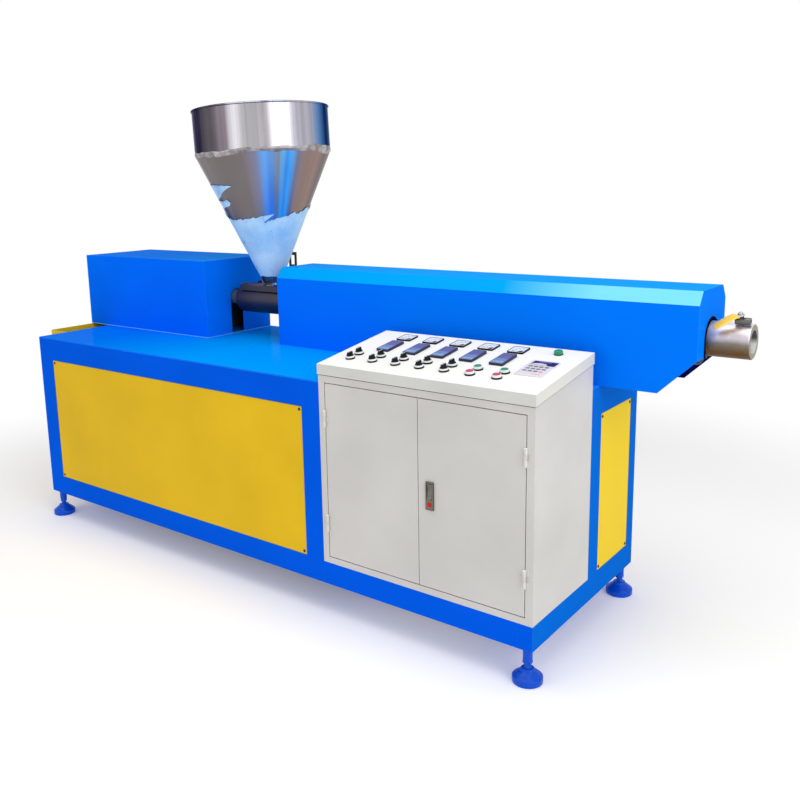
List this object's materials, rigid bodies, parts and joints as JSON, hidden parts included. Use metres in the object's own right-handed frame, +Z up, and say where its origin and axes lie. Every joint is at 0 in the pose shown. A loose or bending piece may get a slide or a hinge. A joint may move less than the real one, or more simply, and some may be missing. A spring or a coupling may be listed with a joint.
{
  "type": "extruder machine",
  "caption": "Blue single-screw extruder with a steel hopper, a covered barrel, yellow base panels and a control cabinet at its front.",
  "frame": {"origin": "on the floor, in the middle of the bounding box in X and Y", "axes": "+X along the machine to the die end, +Y to the back, +Z up"},
  "size_m": [3.075, 0.8693, 1.8317],
  "materials": {
    "blue_paint": "gloss",
    "yellow_paint": "satin",
    "white_paint": "satin",
    "grey_paint": "satin",
    "stainless": "polished",
    "machined_steel": "satin",
    "dark_steel": "matte",
    "zinc_plate": "satin",
    "belt_rubber": "matte",
    "black_plastic": "matte",
    "blue_plastic": "matte",
    "grey_plastic": "matte",
    "silver_plastic": "gloss",
    "red_plastic": "gloss",
    "green_plastic": "gloss"
  },
  "bodies": {
    "base": {"base_frame": "blue_paint", "top_plate": "blue_paint", "front_panel": "yellow_paint", "end_panels": "yellow_paint", "rear_panels": "yellow_paint", "panel_screws": "zinc_plate", "levelling_feet": "blue_paint", "belt_guard": "yellow_paint", "motor": "grey_paint", "drive_belts": "belt_rubber", "gearbox_case": "grey_paint", "bearings": "zinc_plate", "gearbox_cover": "blue_paint", "barrel": "dark_steel", "feed_flange": "dark_steel", "heater_bands": "stainless", "thermocouples": "zinc_plate", "barrel_supports": "blue_paint", "barrel_cover": "blue_paint", "gate_frame": "dark_steel", "hopper_cone": "stainless", "hopper_rim": "stainless", "die_adapter": "machined_steel", "valve_body": "machined_steel", "cabinet_body": "white_paint", "cabinet_lid": "white_paint", "door_hinges": "white_paint", "switchgear": "grey_plastic", "ammeters": "black_plastic", "temperature_controllers": "blue_plastic", "switch_bezels": "silver_plastic", "pilot_lamp": "green_plastic", "inverter_keypad": "grey_plastic"},
    "screw": {"screw": "machined_steel", "output_gear": "machined_steel"},
    "layshaft": {"mid_shaft": "machined_steel"},
    "input": {"input_shaft": "machined_steel", "gearbox_pulley": "dark_steel"},
    "motor_rotor": {"motor_pulley": "dark_steel"},
    "valve": {"valve_handle": "yellow_paint"},
    "gate": {"slide_gate": "stainless"},
    "left_door": {"left_door": "white_paint"},
    "right_door": {"right_door": "white_paint", "lock_housing": "zinc_plate"},
    "lock_lever": {"lock_handle": "zinc_plate"},
    "lock_button": {"lock_button": "red_plastic"},
    "knob_1": {"switch_knob_1": "black_plastic"},
    "knob_2": {"switch_knob_2": "black_plastic"},
    "knob_3": {"switch_knob_3": "black_plastic"},
    "knob_4": {"switch_knob_4": "black_plastic"},
    "knob_5": {"switch_knob_5": "black_plastic"},
    "knob_6": {"switch_knob_6": "black_plastic"},
    "knob_7": {"switch_knob_7": "black_plastic"},
    "knob_8": {"switch_knob_8": "black_plastic"},
    "knob_9": {"switch_knob_9": "black_plastic"},
    "knob_10": {"switch_knob_10": "black_plastic"},
    "button_1": {"push_button_1": "red_plastic"},
    "button_2": {"push_button_2": "green_plastic"},
    "button_3": {"push_button_3": "red_plastic"},
    "button_4": {"push_button_4": "green_plastic"}
  },
  "joints": [
    {"name": "screw_spin", "type": "hinge", "parent": "base", "child": "screw", "pos_m": [0.3075, 0.14575, 1.012], "axis": [1, 0, 0], "continuous": true},
    {"name": "layshaft_spin", "type": "hinge", "parent": "base", "child": "layshaft", "pos_m": [-1.0675, 0.24325, 1.012], "axis": [1, 0, 0], "continuous": true},
    {"name": "input_spin", "type": "hinge", "parent": "base", "child": "input", "pos_m": [-1.2925, 0.14575, 1.012], "axis": [1, 0, 0], "continuous": true},
    {"name": "motor_spin", "type": "hinge", "parent": "base", "child": "motor_rotor", "pos_m": [-1.3925, -0.01725, 0.358], "axis": [1, 0, 0], "continuous": true},
    {"name": "valve_turn", "type": "hinge", "parent": "base", "child": "valve", "pos_m": [1.5035, 0.11838, 1.0893], "axis": [0, -0.3338, 0.9426], "range_deg": [0, 90]},
    {"name": "gate_slide", "type": "slide", "parent": "base", "child": "gate", "axis": [0, -1, 0], "range_m": [0, 0.07]},
    {"name": "left_door_swing", "type": "hinge", "parent": "base", "child": "left_door", "pos_m": [0.32025, -0.42305, 0.533], "axis": [0, 0, -1], "range_deg": [0, 110]},
    {"name": "right_door_swing", "type": "hinge", "parent": "base", "child": "right_door", "pos_m": [1.08075, -0.42305, 0.533], "axis": [0, 0, 1], "range_deg": [0, 110]},
    {"name": "lock_lift", "type": "hinge", "parent": "right_door", "child": "lock_lever", "pos_m": [0.7465, -0.42075, 0.571], "axis": [-1, 0, 0], "range_deg": [0, 60]},
    {"name": "lock_press", "type": "slide", "parent": "right_door", "child": "lock_button", "axis": [0, 1, 0], "range_m": [0, 0.003], "stiffness_N_per_m": 300},
    {"name": "knob_1_turn", "type": "hinge", "parent": "base", "child": "knob_1", "pos_m": [0.3695, -0.33506, 0.92059], "axis": [0, -0.1396, 0.9902], "range_deg": [0, 90]},
    {"name": "knob_2_turn", "type": "hinge", "parent": "base", "child": "knob_2", "pos_m": [0.4638, -0.33506, 0.92059], "axis": [0, -0.1396, 0.9902], "range_deg": [0, 90]},
    {"name": "knob_3_turn", "type": "hinge", "parent": "base", "child": "knob_3", "pos_m": [0.5581, -0.33506, 0.92059], "axis": [0, -0.1396, 0.9902], "range_deg": [0, 90]},
    {"name": "knob_4_turn", "type": "hinge", "parent": "base", "child": "knob_4", "pos_m": [0.6524, -0.33506, 0.92059], "axis": [0, -0.1396, 0.9902], "range_deg": [0, 90]},
    {"name": "knob_5_turn", "type": "hinge", "parent": "base", "child": "knob_5", "pos_m": [0.7467, -0.33506, 0.92059], "axis": [0, -0.1396, 0.9902], "range_deg": [0, 90]},
    {"name": "knob_6_turn", "type": "hinge", "parent": "base", "child": "knob_6", "pos_m": [0.3695, -0.28654, 0.92743], "axis": [0, -0.1396, 0.9902], "range_deg": [0, 90]},
    {"name": "knob_7_turn", "type": "hinge", "parent": "base", "child": "knob_7", "pos_m": [0.4638, -0.28654, 0.92743], "axis": [0, -0.1396, 0.9902], "range_deg": [0, 90]},
    {"name": "knob_8_turn", "type": "hinge", "parent": "base", "child": "knob_8", "pos_m": [0.5581, -0.28654, 0.92743], "axis": [0, -0.1396, 0.9902], "range_deg": [0, 90]},
    {"name": "knob_9_turn", "type": "hinge", "parent": "base", "child": "knob_9", "pos_m": [0.6524, -0.28654, 0.92743], "axis": [0, -0.1396, 0.9902], "range_deg": [0, 90]},
    {"name": "knob_10_turn", "type": "hinge", "parent": "base", "child": "knob_10", "pos_m": [0.7467, -0.28654, 0.92743], "axis": [0, -0.1396, 0.9902], "range_deg": [0, 90]},
    {"name": "button_1_press", "type": "slide", "parent": "base", "child": "button_1", "axis": [0, 0.1396, -0.9902], "range_m": [0, 0.003], "stiffness_N_per_m": 300},
    {"name": "button_2_press", "type": "slide", "parent": "base", "child": "button_2", "axis": [0, 0.1396, -0.9902], "range_m": [0, 0.003], "stiffness_N_per_m": 300},
    {"name": "button_3_press", "type": "slide", "parent": "base", "child": "button_3", "axis": [0, 0.1396, -0.9902], "range_m": [0, 0.003], "stiffness_N_per_m": 300},
    {"name": "button_4_press", "type": "slide", "parent": "base", "child": "button_4", "axis": [0, 0.1396, -0.9902], "range_m": [0, 0.003], "stiffness_N_per_m": 300}
  ],
  "couplings": [
    {"joint": "layshaft_spin", "follows": "screw_spin", "ratio": -3.3333},
    {"joint": "input_spin", "follows": "screw_spin", "ratio": 9.6667},
    {"joint": "motor_spin", "follows": "screw_spin", "ratio": 17.239}
  ]
}
